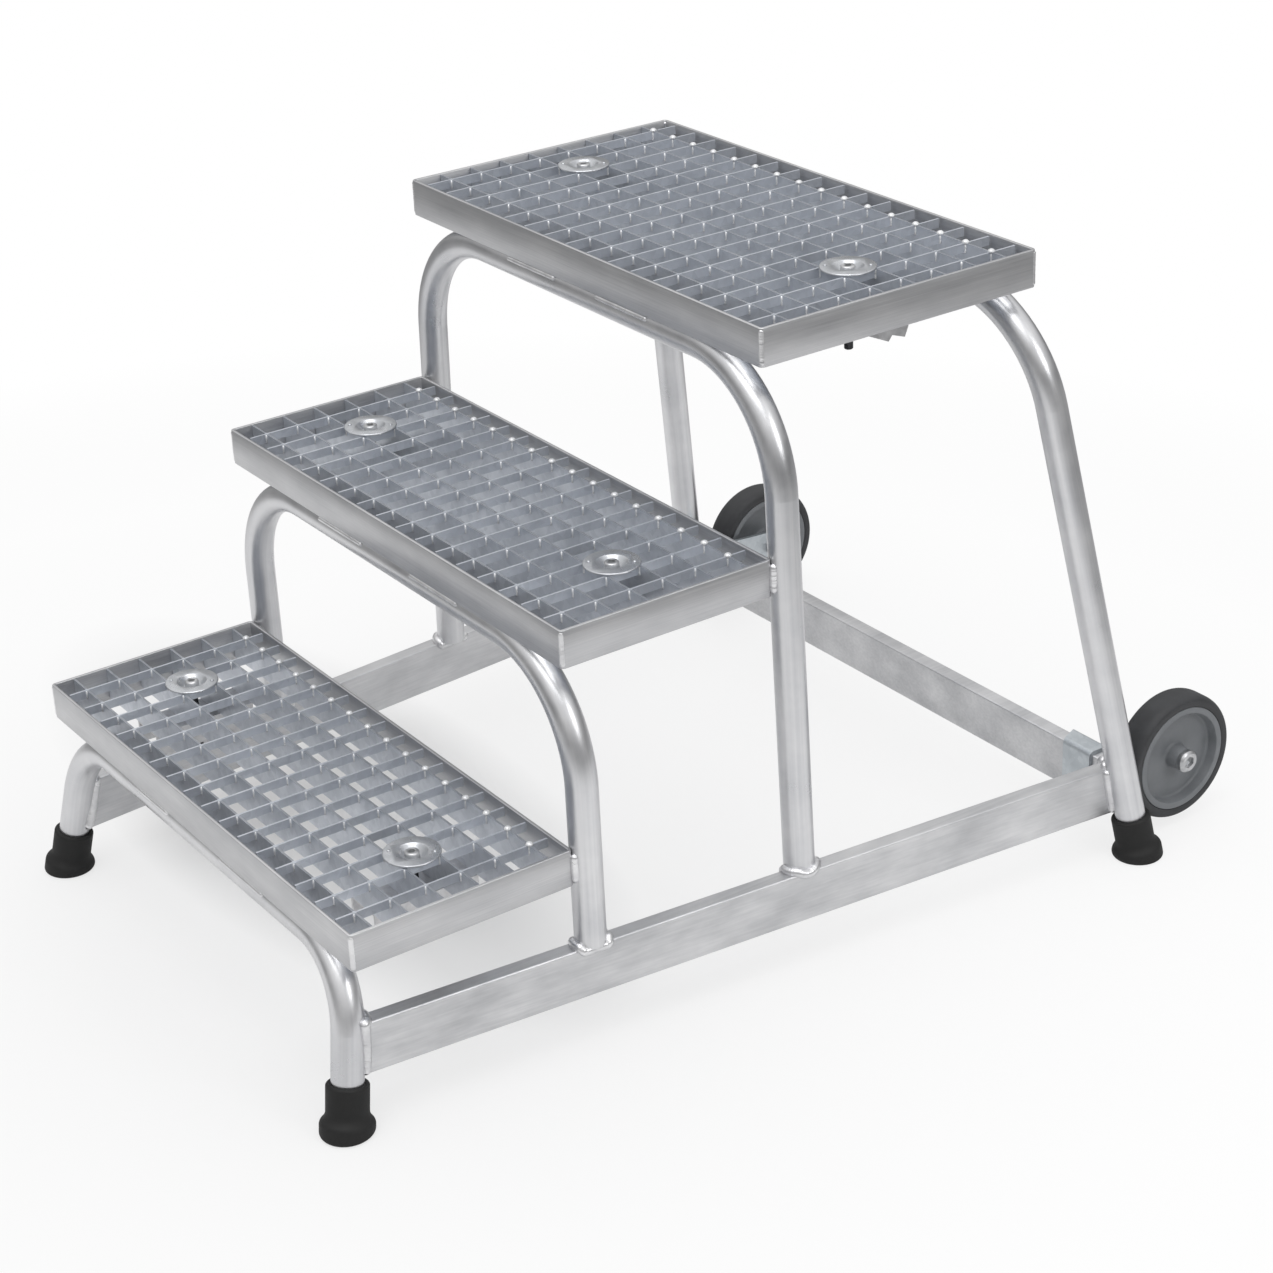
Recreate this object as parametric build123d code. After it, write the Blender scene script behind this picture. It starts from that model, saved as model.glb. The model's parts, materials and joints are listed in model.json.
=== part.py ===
from build123d import *
import math
import os

os.makedirs("parts", exist_ok=True)

# Mobile work platform: three grated treads on bent-tube bows, two base rails, four rubber feet
# and two wheels behind the rear legs. Millimetres. +X is the user's right when climbing,
# +Y is the climbing direction, +Z is up and the floor is z = 0. The shape is mirrored about x = 0.

# Fits
SEAT = 0.3            # gap between two pieces that are welded, clamped or pushed together
RUN_CLEAR = 0.05      # radial running clearance of a wheel on its bolt
THREAD_CLEAR = 0.3    # radial clearance of a bolt in a plain hole

# Tube and rail stock
TUBE_R = 14.0
TUBE_WALL = 2.0
RAIL_W = 16.0
RAIL_H = 48.0
RAIL_WALL = 2.0
RAIL_EDGE = 1.6       # outer edge radius
RAIL_TOP = 92.0

# Treads
FIRST_RISE = 188.0
RISE = 200.0
GO = 212.0            # from one tread's front face to the next one's
TREAD_Y = -442.85     # front face of the lowest tread
STEP_W = 562.0
TOP_W = 545.0
TOP_DEPTH = 296.0
FLAT_T = 3.0
FLAT_H = 34.0
FLAT_CORNER = 4.0

# Gratings
MESH = 33.333
BAR_T = 2.0
BEARER_H = 30.0
CROSS_H = 8.0
CROSS_END = 2.0       # from a cross bar's end to the frame
GRATE_DROP = 1.0      # from the frame's top edge down to the bars

# The bows' tubes lie under the treads' flats: the flat's inner lower edge rests on the tube
RUN_BACK = 14.0       # from a tread's outer face to the tube's axis
RUN_DROP = FLAT_H + math.sqrt((TUBE_R + SEAT) ** 2 - (RUN_BACK - FLAT_T) ** 2)
# A step ends against the legs of the bow behind it
STEP_DEPTH = GO + RUN_BACK - TUBE_R - SEAT

# Bows. Inset is from the tread's edge in to the corner of the bow's axis. Splay and lean are the
# degrees that a leg stands out to the side and to the back. Bend is the radius at the corner.
FRONT_INSET = 34.0
FRONT_SPLAY_DEG = 8.5
FRONT_LEAN_DEG = -10.75
FRONT_BEND = 72.0
MIDDLE_INSET = 3.0
MIDDLE_BEND = 105.0
UPPER_INSET = -0.5
UPPER_BEND = 110.0
REAR_INSET = -10.5
REAR_SPLAY_DEG = 7.3
REAR_LEAN_DEG = 8.75
REAR_BEND = 110.0
LEG_END = 9.0         # height of a leg's cut end inside its rubber foot

# Base rails. Each inset is from a leg's axis in to the rail's centreline.
RAIL_FRONT_INSET = 1.5
RAIL_REAR_INSET = 14.8
# From the rail's centreline in to the axis of a leg that stands on it
MIDDLE_STAND = 0.0
UPPER_STAND = 6.5

# Feet, turned about the leg's axis
FOOT_SLEEVE_R = 18.3
FOOT_BASE_R = 23.4
FOOT_BASE_H = 7.0     # where the base is widest
FOOT_BULGE = 6.5      # rounding of the base above that
FOOT_FLARE = 10.0     # hollow rounding from the base into the sleeve
FOOT_EDGE = 3.0       # rounding at the floor
FOOT_RIM = 2.5        # rounding of the sleeve's upper edge
FOOT_GAP = 1.0        # from the sleeve's upper edge to the rail
FOOT_H = RAIL_TOP - RAIL_H - FOOT_GAP

# Grating clips
CLIP_CELL = 2         # the clip's cell, counted from the outermost cross bar
CLIP_R = 25.0
CLIP_DISH_R = 14.0
CLIP_FLOOR_R = 8.2
CLIP_DISH = 6.0
CLIP_T = 2.0
CLIP_EDGE = 0.8
CLIP_BOLT_R = 4.0
CLIP_HEAD_R = 6.5
CLIP_HEAD_H = 6.0
CLIP_HEAD_EDGE = 1.0
CLIP_KEY_R = 3.25
CLIP_KEY_DEPTH = 3.5
CLIP_TAIL = 7.0       # bolt's length below the saddle
SADDLE_L = 92.0
SADDLE_W = 40.0
SADDLE_T = 3.0
SADDLE_DROP = 8.0
SADDLE_FLANGE = 16.0  # flat end under the bars
SADDLE_RAMP = 8.0
TOOTH_W = 14.0
TOOTH_TIP = 1.0

# Wheels
WHEEL_R = 62.5
WHEEL_LIFT = 7.5      # from the floor to the wheel while the platform stands on its feet
WHEEL_GAP = 10.0      # from the rails' back ends to the tyre
WHEEL_INSET = 9.0     # from a rail's centreline at its back end in to the wheel's middle
TYRE_W = 30.0
TYRE_BORE_R = 52.0
TYRE_SIDE_DROP = 5.0  # from the crown down to the side wall's upper edge
TYRE_SHOULDER_DROP = 1.5
TYRE_SHOULDER_W = 4.0
TYRE_CROWN_EDGE = 9.0  # from the side wall to the crown
HUB_HALF = 18.0
HUB_WEB = 8.0
HUB_RIM_T = 6.0
HUB_DRAFT = 2.0
HUB_EDGE = 1.0
BOSS_R = 12.0
BOSS_TIP_R = 10.5

# Axle bolts and their brackets
AXLE_R = 5.0
AXLE_HEAD_R = 11.0
AXLE_HEAD_H = 6.5
AXLE_HEAD_EDGE = 2.0
AXLE_EDGE = 1.0
AXLE_KEY_R = 6.0
AXLE_KEY_DEPTH = 4.0
AXLE_TAIL = 4.0       # thread beyond the nut
NUT_FLATS = 17.0
NUT_H = 8.0
PLATE_T = 4.0
BRACKET_L = 35.5
BRACKET_PAST = 6.2    # from the lug's outer face out to the plate's end
BRACKET_SLANT = 10.0  # how far the inner end leans towards the middle at the back
BRACKET_SHORT = 6.0   # from the rail's lower edge up to the plate's
LUG_R = 17.0
WASHER = 1.7          # gap between the wheel's boss and the bracket's lug

# Derived places
REACH = 2 * (STEP_W + 3 * GO + TOP_DEPTH)    # longer than the platform, for cutting blocks
TREAD_NAME = ["lower", "middle", "top"]
TREAD_FRONT = [TREAD_Y + GO * i for i in range(3)]
TREAD_TOP = [FIRST_RISE + RISE * i for i in range(3)]
TREAD_W = [STEP_W, STEP_W, TOP_W]
TREAD_DEPTH = [STEP_DEPTH, STEP_DEPTH, TOP_DEPTH]
RUN_Z = [top - RUN_DROP for top in TREAD_TOP]
RAIL_MID = RAIL_TOP - RAIL_H / 2
AXLE_Z = WHEEL_R + WHEEL_LIFT
SIDES = [("right", 1), ("left", -1)]


def slope(degrees):
    return math.tan(math.radians(degrees))


def leg_point(bow, side, z):
    """A point on a leg's axis at the height z."""
    drop = bow["z"] - z
    return Vector(side * (bow["half"] + bow["out"] * drop), bow["y"] + bow["lean"] * drop, z)


def leg_axis(bow, side):
    """Unit vector up a leg."""
    return (leg_point(bow, side, bow["z"]) - leg_point(bow, side, 0)).normalized()


# Half width at the run, a leg's run to the side and to the back per height, bend radius, the run's
# place and height, and the height of the legs' ends
BOW_COLUMNS = ["half", "out", "lean", "bend", "y", "z", "end"]
FRONT_ROW = [STEP_W / 2 - FRONT_INSET, slope(FRONT_SPLAY_DEG), slope(FRONT_LEAN_DEG), FRONT_BEND,
             TREAD_FRONT[0] + RUN_BACK, RUN_Z[0], LEG_END]
REAR_ROW = [TOP_W / 2 - REAR_INSET, slope(REAR_SPLAY_DEG), slope(REAR_LEAN_DEG), REAR_BEND,
            TREAD_FRONT[2] + TOP_DEPTH - RUN_BACK, RUN_Z[2], LEG_END]
FRONT = dict(zip(BOW_COLUMNS, FRONT_ROW))
REAR = dict(zip(BOW_COLUMNS, REAR_ROW))

# The rails run from the front legs to the rear legs and spread as those stand
RAIL_START = leg_point(FRONT, 1, RAIL_MID) - Vector(RAIL_FRONT_INSET, 0, 0)
RAIL_AT_REAR = leg_point(REAR, 1, RAIL_MID) - Vector(RAIL_REAR_INSET, 0, 0)
RAIL_SPREAD = (RAIL_AT_REAR.X - RAIL_START.X) / (RAIL_AT_REAR.Y - RAIL_START.Y)
CROSS_Y = RAIL_AT_REAR.Y
CROSS_BACK = CROSS_Y + RAIL_W / 2


def rail_centre(side, y):
    """A point on a rail's centreline at mid height."""
    return Vector(side * (RAIL_START.X + RAIL_SPREAD * (y - RAIL_START.Y)), y, RAIL_MID)


def standing_bow(tread, inset, stand, bend):
    """A bow whose legs stand on the rails, straight down from a tread's front."""
    half = TREAD_W[tread] / 2 - inset
    y = TREAD_FRONT[tread] + RUN_BACK
    foot = rail_centre(1, y).X - stand
    out = (foot - half) / (RUN_Z[tread] - RAIL_TOP)
    return dict(zip(BOW_COLUMNS, [half, out, 0, bend, y, RUN_Z[tread], RAIL_TOP + SEAT]))


BOWS = {
    "front": FRONT,
    "middle": standing_bow(1, MIDDLE_INSET, MIDDLE_STAND, MIDDLE_BEND),
    "upper": standing_bow(2, UPPER_INSET, UPPER_STAND, UPPER_BEND),
    "rear": REAR,
}

WHEEL_X = rail_centre(1, CROSS_BACK).X - WHEEL_INSET
AXLE_Y = CROSS_BACK + WHEEL_GAP + WHEEL_R
LUG_OUT = WHEEL_X - HUB_HALF - WASHER
LUG_IN = LUG_OUT - PLATE_T
BOLT_SEAT = CLIP_T - CLIP_DISH + SEAT
SADDLE_SEAT = -BEARER_H - 2 * SEAT


def save(shape, node):
    shape.label = node
    export_step(shape, f"parts/{node}.step")


def above(z):
    """A block that holds everything above the height z."""
    return Pos(0, 0, z + REACH / 2) * Box(REACH, REACH, REACH)


def turned(points):
    """A solid turned about Z from (radius, height) points."""
    return revolve(make_face(Polyline(*[(r, 0, z) for r, z in points], close=True)), axis=Axis.Z)


def arc(centre, radius, start, end):
    """An arc in the XZ plane from one angle to another, in radians."""
    r, z = centre
    angles = [start, (start + end) / 2, end]
    return ThreePointArc(*[(r + radius * math.cos(a), 0, z + radius * math.sin(a)) for a in angles])


def along_x(shape, side):
    """Turn a shape made about Z so that its +Z points outwards along X."""
    return Rot(0, 90 * side, 0) * shape


def leg_rod(bow, side, radius, low, high):
    """A round solid along a leg's axis between two heights of the axis."""
    start = leg_point(bow, side, low)
    length = (leg_point(bow, side, high) - start).length
    place = Plane(origin=start, x_dir=(0, 1, 0), z_dir=leg_axis(bow, side))
    return extrude(place * Circle(radius), length)


def bow_path(bow):
    """Centreline of a bow: leg, bend, run, bend, leg."""
    low = bow["end"] - TUBE_R
    ends = []
    for side in (-1, 1):
        corner = leg_point(bow, side, bow["z"])
        down = leg_axis(bow, side) * -1
        inward = Vector(-side, 0, 0)
        half_angle = math.radians(down.get_angle(inward) / 2)
        reach = bow["bend"] / math.tan(half_angle)
        bisector = (down + inward).normalized()
        middle = corner + bisector * (bow["bend"] / math.sin(half_angle) - bow["bend"])
        ends.append((leg_point(bow, side, low), corner + down * reach, middle, corner + inward * reach))
    left, right = ends
    return Wire([
        Line(left[0], left[1]),
        ThreePointArc(left[1], left[2], left[3]),
        Line(left[3], right[3]),
        ThreePointArc(right[3], right[2], right[1]),
        Line(right[1], right[0]),
    ])


def make_bow(bow):
    """Bent tube with its legs cut level."""
    path = bow_path(bow)
    start = leg_point(bow, -1, bow["end"] - TUBE_R)
    place = Plane(origin=start, x_dir=(0, 1, 0), z_dir=leg_axis(bow, -1))
    outer = sweep(place * Circle(TUBE_R), path=path)
    inner = sweep(place * Circle(TUBE_R - TUBE_WALL), path=path)
    return (outer - inner) & above(bow["end"])


def rail_section():
    """Rectangular tube with rounded outer edges."""
    hole = Rectangle(RAIL_W - 2 * RAIL_WALL, RAIL_H - 2 * RAIL_WALL)
    return RectangleRounded(RAIL_W, RAIL_H, RAIL_EDGE) - hole


def make_rail(side):
    """Side rail, cut square behind and coped round the front and rear legs."""
    start = rail_centre(side, RAIL_START.Y)
    run = rail_centre(side, CROSS_BACK + RAIL_W) - start
    place = Plane(origin=start, x_dir=(run.Y, -run.X, 0), z_dir=run)
    rail = extrude(place * rail_section(), run.length)
    rail -= Pos(0, CROSS_BACK + REACH / 2, 0) * Box(REACH, REACH, REACH)
    for bow in (FRONT, REAR):
        rail -= leg_rod(bow, side, TUBE_R + SEAT, 0, RUN_Z[0])
    return max(rail.solids(), key=lambda solid: solid.volume)


def make_cross_rail():
    """Between the side rails; its ends follow their inner faces."""
    place = Plane(origin=(-REACH / 2, CROSS_Y, RAIL_MID), x_dir=(0, 1, 0), z_dir=(1, 0, 0))
    bar = extrude(place * rail_section(), REACH)
    for _, side in SIDES:
        run = rail_centre(side, CROSS_BACK) - rail_centre(side, RAIL_START.Y)
        beside = Plane(origin=rail_centre(side, CROSS_Y), x_dir=run, z_dir=(0, 0, 1))
        inner_face = side * (RAIL_W / 2 + SEAT)
        bar -= beside * Pos(0, inner_face - side * REACH / 2, 0) * Box(REACH, REACH, REACH)
    return bar


def make_foot(bow, side):
    """Rubber foot turned about the leg's axis and cut level with the floor."""
    place = Plane(origin=leg_point(bow, side, 0), x_dir=(0, 1, 0), z_dir=leg_axis(bow, side))
    below = -FOOT_BASE_R
    core = FOOT_BASE_R - FOOT_BULGE
    out = FOOT_SLEEVE_R + FOOT_FLARE - core
    rise = math.sqrt((FOOT_BULGE + FOOT_FLARE) ** 2 - out ** 2)
    meet = math.atan2(rise, out)
    bulge = arc((core, FOOT_BASE_H), FOOT_BULGE, 0, meet)
    flare = arc((core + out, FOOT_BASE_H + rise), FOOT_FLARE, math.pi + meet, math.pi)
    rim = arc((FOOT_SLEEVE_R - FOOT_RIM, FOOT_H - FOOT_RIM), FOOT_RIM, 0, math.pi / 2)
    profile = make_face([
        Line((0, 0, below), (FOOT_BASE_R, 0, below)),
        Line((FOOT_BASE_R, 0, below), bulge @ 0),
        bulge,
        flare,
        Line(flare @ 1, rim @ 0),
        rim,
        Line(rim @ 1, (0, 0, FOOT_H)),
        Line((0, 0, FOOT_H), (0, 0, below)),
    ])
    foot = place * revolve(profile, axis=Axis.Z) & above(0)
    foot = fillet(foot.faces().sort_by(Axis.Z)[0].edges(), FOOT_EDGE)
    socket = leg_rod(bow, side, TUBE_R + SEAT, 0, 2 * FOOT_H) & above(bow["end"] - SEAT)
    return foot - socket


def make_frame(width, depth):
    """A tread's frame, with its front face on y = 0 and its top edge on z = 0."""
    outer = RectangleRounded(width, depth, FLAT_CORNER)
    inner = RectangleRounded(width - 2 * FLAT_T, depth - 2 * FLAT_T, FLAT_CORNER - FLAT_T)
    return Pos(0, depth / 2, -FLAT_H) * extrude(outer - inner, FLAT_H)


def bars_across(length):
    """How many bars the mesh spreads over a frame's length."""
    return int((length - 2 * FLAT_T) / MESH)


def bar_place(bars, i):
    """From the grating's middle to a bar; halves fall in the cells between."""
    return MESH * (i - (bars - 1) / 2)


def make_grating(width, depth):
    """Bearing bars across the tread and low cross bars pressed into them, flush on top."""
    bearer_l = width - 2 * FLAT_T - 2 * SEAT
    cross_l = depth - 2 * FLAT_T - 2 * CROSS_END
    bearers = bars_across(depth)
    crosses = bars_across(width)
    bars = []
    for i in range(bearers):
        y = depth / 2 + bar_place(bearers, i)
        bars.append(Pos(0, y, -GRATE_DROP - BEARER_H / 2) * Box(bearer_l, BAR_T, BEARER_H))
    for i in range(crosses):
        x = bar_place(crosses, i)
        bars.append(Pos(x, depth / 2, -GRATE_DROP - CROSS_H / 2) * Box(BAR_T, cross_l, CROSS_H))
    return bars[0].fuse(*bars[1:]).clean()


def make_clip_disc():
    """Dished disc; its rim's underside is z = 0."""
    hole = CLIP_BOLT_R + THREAD_CLEAR
    spread = CLIP_T * (CLIP_DISH_R - CLIP_FLOOR_R) / (2 * CLIP_DISH_R - CLIP_FLOOR_R)
    return turned([
        (hole, -CLIP_DISH), (CLIP_FLOOR_R + spread, -CLIP_DISH), (CLIP_DISH_R + spread, 0),
        (CLIP_R - CLIP_EDGE, 0), (CLIP_R, CLIP_EDGE), (CLIP_R - CLIP_EDGE, CLIP_T),
        (CLIP_DISH_R, CLIP_T), (CLIP_FLOOR_R, CLIP_T - CLIP_DISH), (hole, CLIP_T - CLIP_DISH),
    ])


def make_clip_bolt():
    """Cap screw in the disc's dish, its tail below the saddle."""
    tail = SADDLE_SEAT - SADDLE_DROP - SADDLE_T - CLIP_TAIL
    top = BOLT_SEAT + CLIP_HEAD_H
    bolt = turned([
        (0, tail), (CLIP_BOLT_R - CLIP_EDGE, tail), (CLIP_BOLT_R, tail + CLIP_EDGE),
        (CLIP_BOLT_R, BOLT_SEAT), (CLIP_HEAD_R, BOLT_SEAT), (CLIP_HEAD_R, top - CLIP_HEAD_EDGE),
        (CLIP_HEAD_R - CLIP_HEAD_EDGE, top), (0, top),
    ])
    key = Pos(0, 0, top - CLIP_KEY_DEPTH) * extrude(RegularPolygon(CLIP_KEY_R, 6), CLIP_HEAD_H)
    return bolt - key


def make_clip_saddle():
    """Toothed saddle under two bearing bars; z = 0 is the disc's rim."""
    half = SADDLE_L / 2
    low = SADDLE_SEAT - SADDLE_DROP
    neck = SADDLE_SEAT - SADDLE_T
    right = [
        (half, SADDLE_SEAT), (half, neck), (half - TOOTH_TIP, low - SADDLE_T),
        (half - TOOTH_W, neck - TOOTH_TIP), (half - TOOTH_W - TOOTH_TIP, low - SADDLE_T),
    ]
    under = right + [(-x, z) for x, z in reversed(right)]
    ramp = half - SADDLE_FLANGE
    upper = [(-ramp, SADDLE_SEAT), (SADDLE_RAMP - ramp, low), (ramp - SADDLE_RAMP, low), (ramp, SADDLE_SEAT)]
    outline = make_face(Polyline(*[(x, 0, z) for x, z in under + upper], close=True))
    saddle = Pos(0, SADDLE_W / 2, 0) * extrude(outline, SADDLE_W, dir=(0, -1, 0))
    return saddle - Pos(0, 0, low) * Cylinder(CLIP_BOLT_R + THREAD_CLEAR, 4 * SADDLE_T)


def make_tyre():
    """Solid rubber tyre with chamfered shoulders."""
    half = TYRE_W / 2
    outer = [
        (TYRE_BORE_R, half), (WHEEL_R - TYRE_SIDE_DROP, half),
        (WHEEL_R - TYRE_SHOULDER_DROP, half - TYRE_SHOULDER_W), (WHEEL_R, half - TYRE_CROWN_EDGE),
    ]
    return turned(outer + [(r, -z) for r, z in reversed(outer)])


def make_hub():
    """Dished plastic hub with a rim, a web and a tapered boss; +Z is its outer face."""
    half = TYRE_W / 2
    rim = TYRE_BORE_R - SEAT
    dish = rim - HUB_RIM_T
    outer = [
        (AXLE_R + RUN_CLEAR, HUB_HALF), (BOSS_TIP_R, HUB_HALF), (BOSS_R, HUB_WEB / 2),
        (dish - HUB_DRAFT, HUB_WEB / 2), (dish, half - HUB_EDGE), (dish + HUB_EDGE, half), (rim, half),
    ]
    return turned(outer + [(r, -z) for r, z in reversed(outer)])


def make_axle_bolt():
    """Axle bolt about Z with its head outwards; z = 0 is the wheel's middle."""
    head = HUB_HALF + SEAT
    top = head + AXLE_HEAD_H
    tail = LUG_IN - SEAT - NUT_H - AXLE_TAIL - WHEEL_X
    bolt = turned([
        (0, tail), (AXLE_R - AXLE_EDGE, tail), (AXLE_R, tail + AXLE_EDGE), (AXLE_R, head),
        (AXLE_HEAD_R, head), (AXLE_HEAD_R, top - AXLE_HEAD_EDGE), (AXLE_HEAD_R - AXLE_HEAD_EDGE, top),
        (0, top),
    ])
    return bolt - Pos(0, 0, top - AXLE_KEY_DEPTH) * extrude(RegularPolygon(AXLE_KEY_R, 6), AXLE_HEAD_H)


def make_axle_nut():
    nut = extrude(RegularPolygon(NUT_FLATS / 2, 6, major_radius=False), NUT_H)
    return nut - Cylinder(AXLE_R + RUN_CLEAR, 4 * NUT_H)


def make_bracket():
    """Plate folded over the cross rail, slanted at its inner end, with a lug behind for the axle."""
    low = RAIL_TOP - RAIL_H + BRACKET_SHORT
    height = RAIL_TOP + SEAT - low
    end = LUG_OUT + BRACKET_PAST
    start = end - BRACKET_L
    half_in = RAIL_W / 2 + SEAT
    half_out = half_in + PLATE_T
    place = Plane(
        origin=(start - BRACKET_SLANT, CROSS_Y, low), x_dir=(0, 1, 0), z_dir=(1, 0, 0)
    )
    shell = Pos(0, (height + PLATE_T) / 2) * Rectangle(2 * half_out, height + PLATE_T)
    shell = fillet(shell.vertices().group_by(Axis.Y)[-1], RAIL_EDGE + PLATE_T)
    hollow = Pos(0, height / 2) * Rectangle(2 * half_in, height)
    hollow = fillet(hollow.vertices().group_by(Axis.Y)[-1], RAIL_EDGE)
    plate = extrude(place * (shell - hollow), BRACKET_L + BRACKET_SLANT)
    front = CROSS_Y - half_out
    back = CROSS_Y + half_out
    plan = make_face(Polyline(
        (start, front), (end, front), (end, back), (start - BRACKET_SLANT, back), close=True
    ))
    plate &= extrude(plan, RAIL_TOP + RAIL_H)
    seat = CROSS_Y + half_in
    lug_outline = make_hull(
        (Pos(AXLE_Y, AXLE_Z) * Circle(LUG_R)).edges()
        + Polyline((seat, low), (seat, low + height)).edges()
    )
    lug = Plane(origin=(LUG_IN, 0, 0), x_dir=(0, 1, 0), z_dir=(1, 0, 0)) * extrude(lug_outline, PLATE_T)
    hole = Pos(LUG_IN, AXLE_Y, AXLE_Z) * along_x(Cylinder(AXLE_R + THREAD_CLEAR, 4 * PLATE_T), 1)
    return plate + lug - hole


for name, bow in BOWS.items():
    save(make_bow(bow), f"{name}_bow")

for side_name, side in SIDES:
    save(make_rail(side), f"rail_{side_name}")
    save(make_foot(FRONT, side), f"foot_front_{side_name}")
    save(make_foot(REAR, side), f"foot_rear_{side_name}")
save(make_cross_rail(), "cross_rail")

DISC = make_clip_disc()
BOLT = make_clip_bolt()
SADDLE = make_clip_saddle()
for i, tread in enumerate(TREAD_NAME):
    width, depth = TREAD_W[i], TREAD_DEPTH[i]
    at = Pos(0, TREAD_FRONT[i], TREAD_TOP[i])
    save(at * make_frame(width, depth), f"frame_{tread}")
    save(at * make_grating(width, depth), f"grating_{tread}")
    clip_x = -bar_place(bars_across(width), CLIP_CELL - 0.5)
    bearers = bars_across(depth)
    clip_y = depth / 2 + bar_place(bearers, bearers // 2 - 0.5)
    for side_name, side in SIDES:
        clip = at * Pos(side * clip_x, clip_y, SEAT - GRATE_DROP)
        save(clip * DISC, f"clip_disc_{tread}_{side_name}")
        save(clip * BOLT, f"clip_bolt_{tread}_{side_name}")
        save(clip * SADDLE, f"clip_saddle_{tread}_{side_name}")

TYRE = make_tyre()
HUB = make_hub()
AXLE = make_axle_bolt()
NUT = make_axle_nut()
BRACKET = make_bracket()
for side_name, side in SIDES:
    wheel = Pos(side * WHEEL_X, AXLE_Y, AXLE_Z)
    save(wheel * along_x(TYRE, side), f"tyre_{side_name}")
    save(wheel * along_x(HUB, side), f"hub_{side_name}")
    save(wheel * along_x(AXLE, side), f"axle_bolt_{side_name}")
    save(Pos(side * (LUG_IN - SEAT), AXLE_Y, AXLE_Z) * along_x(NUT, -side), f"axle_nut_{side_name}")
    save(BRACKET if side > 0 else mirror(BRACKET, about=Plane.YZ), f"bracket_{side_name}")
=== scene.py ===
import json
import math
import random

import bmesh
import bpy
from mathutils import Matrix, Vector

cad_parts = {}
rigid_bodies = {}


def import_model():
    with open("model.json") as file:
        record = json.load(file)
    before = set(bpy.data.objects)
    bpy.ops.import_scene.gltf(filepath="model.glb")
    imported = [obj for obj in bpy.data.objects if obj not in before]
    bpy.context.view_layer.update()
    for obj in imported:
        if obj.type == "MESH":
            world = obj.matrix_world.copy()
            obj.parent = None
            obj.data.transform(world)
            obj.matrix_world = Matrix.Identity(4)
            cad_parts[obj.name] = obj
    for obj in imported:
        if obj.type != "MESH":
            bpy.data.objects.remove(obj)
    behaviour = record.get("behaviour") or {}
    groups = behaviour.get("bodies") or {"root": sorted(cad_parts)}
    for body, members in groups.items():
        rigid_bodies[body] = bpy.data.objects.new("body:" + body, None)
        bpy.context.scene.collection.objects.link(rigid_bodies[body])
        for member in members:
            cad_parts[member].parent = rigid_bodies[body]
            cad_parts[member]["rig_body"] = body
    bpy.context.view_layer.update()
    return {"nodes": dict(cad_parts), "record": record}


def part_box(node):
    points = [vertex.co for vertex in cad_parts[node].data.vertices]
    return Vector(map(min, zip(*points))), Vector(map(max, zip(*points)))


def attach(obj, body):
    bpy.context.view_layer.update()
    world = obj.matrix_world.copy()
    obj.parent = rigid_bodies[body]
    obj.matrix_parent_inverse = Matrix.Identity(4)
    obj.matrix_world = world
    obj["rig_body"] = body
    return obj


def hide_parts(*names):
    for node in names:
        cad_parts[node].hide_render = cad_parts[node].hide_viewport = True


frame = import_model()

# Mobile work platform, dressed around its frame. Metres. +X is the user's right when climbing,
# +Y is the climbing direction, +Z is up and the floor is z = 0.

# Stock sizes of the solids
TUBE_R = 0.014
RAIL_W = 0.016
FLAT_T = 0.003
FLAT_CORNER = 0.004
MESH = 0.033333
BAR_T = 0.002
CROSS_H = 0.008
RAIL_FRONT_INSET = 0.0015    # from a front leg's axis in to the rail's centreline
RAIL_REAR_INSET = 0.0148     # from a rear leg's axis in to the rail's centreline
RING_BAND = 0.0002           # height band that holds the points of a leg's cut end
# Degrees that a leg stands out to the side and to the back, going down
LEG_TILT = {"front": (8.5, -10.75), "middle": (0.03, 0), "upper": (2.32, 0), "rear": (7.3, 8.75)}
SIDES = {"right": 1, "left": -1}
TREADS = ["lower", "middle", "top"]

# Weld beads
RIPPLE_PITCH = 0.0022
RIPPLE = 0.03                # share of the radius that the ripples take
SWELL = 0.03                 # share by which a bead's ripples differ in size
RIPPLE_STEPS = 4
BEAD_SIDES = 10
CAP_LEAST = 0.04             # square of the share of the radius that a bead's ends keep
POST_BEAD = 0.0044
RAIL_BEAD = 0.0048
CORNER_BEAD = 0.0026
STEP_BEAD = 0.0040
RUN_BEAD = 0.0027
RUN_WELD = 0.078             # length of one stitch under a tread's flat
RUN_PITCH = {"lower": 0.176, "middle": 0.160, "top": 0.142}
RUN_REACH = {"lower": 0.200, "middle": 0.190, "top": 0.180}    # half of the straight tube under a flat
RUN_IN = 0.0020              # from a flat's outer face in to its stitches
RUN_DROP = 0.0026            # from a flat's lower edge down to its stitches
POST_OFF = 0.001             # from a post's tube, and from a rail's side, out to the bead
POST_LIFT = 0.0018           # from a rail's top up to a post's bead
POST_DIP = 0.0035            # how far the bead dips where the tube overhangs the rail
POST_DIP_START = 0.003       # the dip starts this far inside the rail's edge
POST_DIP_RUN = 0.004         # and takes this far
SEAM_OFF = 0.0008            # from a leg's tube out to a rail's bead
SEAM_OUT = 0.0004            # from a rail's face out to its bead
SEAM_LOW = 0.001             # from a rail's lower edge up to its bead's end
SEAM_STEPS = 8
NOTCH_STEPS = 12
CROSS_OFF = 0.0005           # from a side rail's inner face in to the cross rail's bead
CORNER_IN = 0.0012           # from a tread's rounded corner in to its bead
CORNER_END = 0.001           # from a flat's edges to a corner bead's ends
STEP_LOW = 0.003             # from a flat's lower edge up to a step's bead
STEP_HIGH = 0.004            # from a flat's top edge down to a step's bead
STEP_OUT = (0.0004, 0.001)   # from a step's back corner out to the side and back
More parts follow.
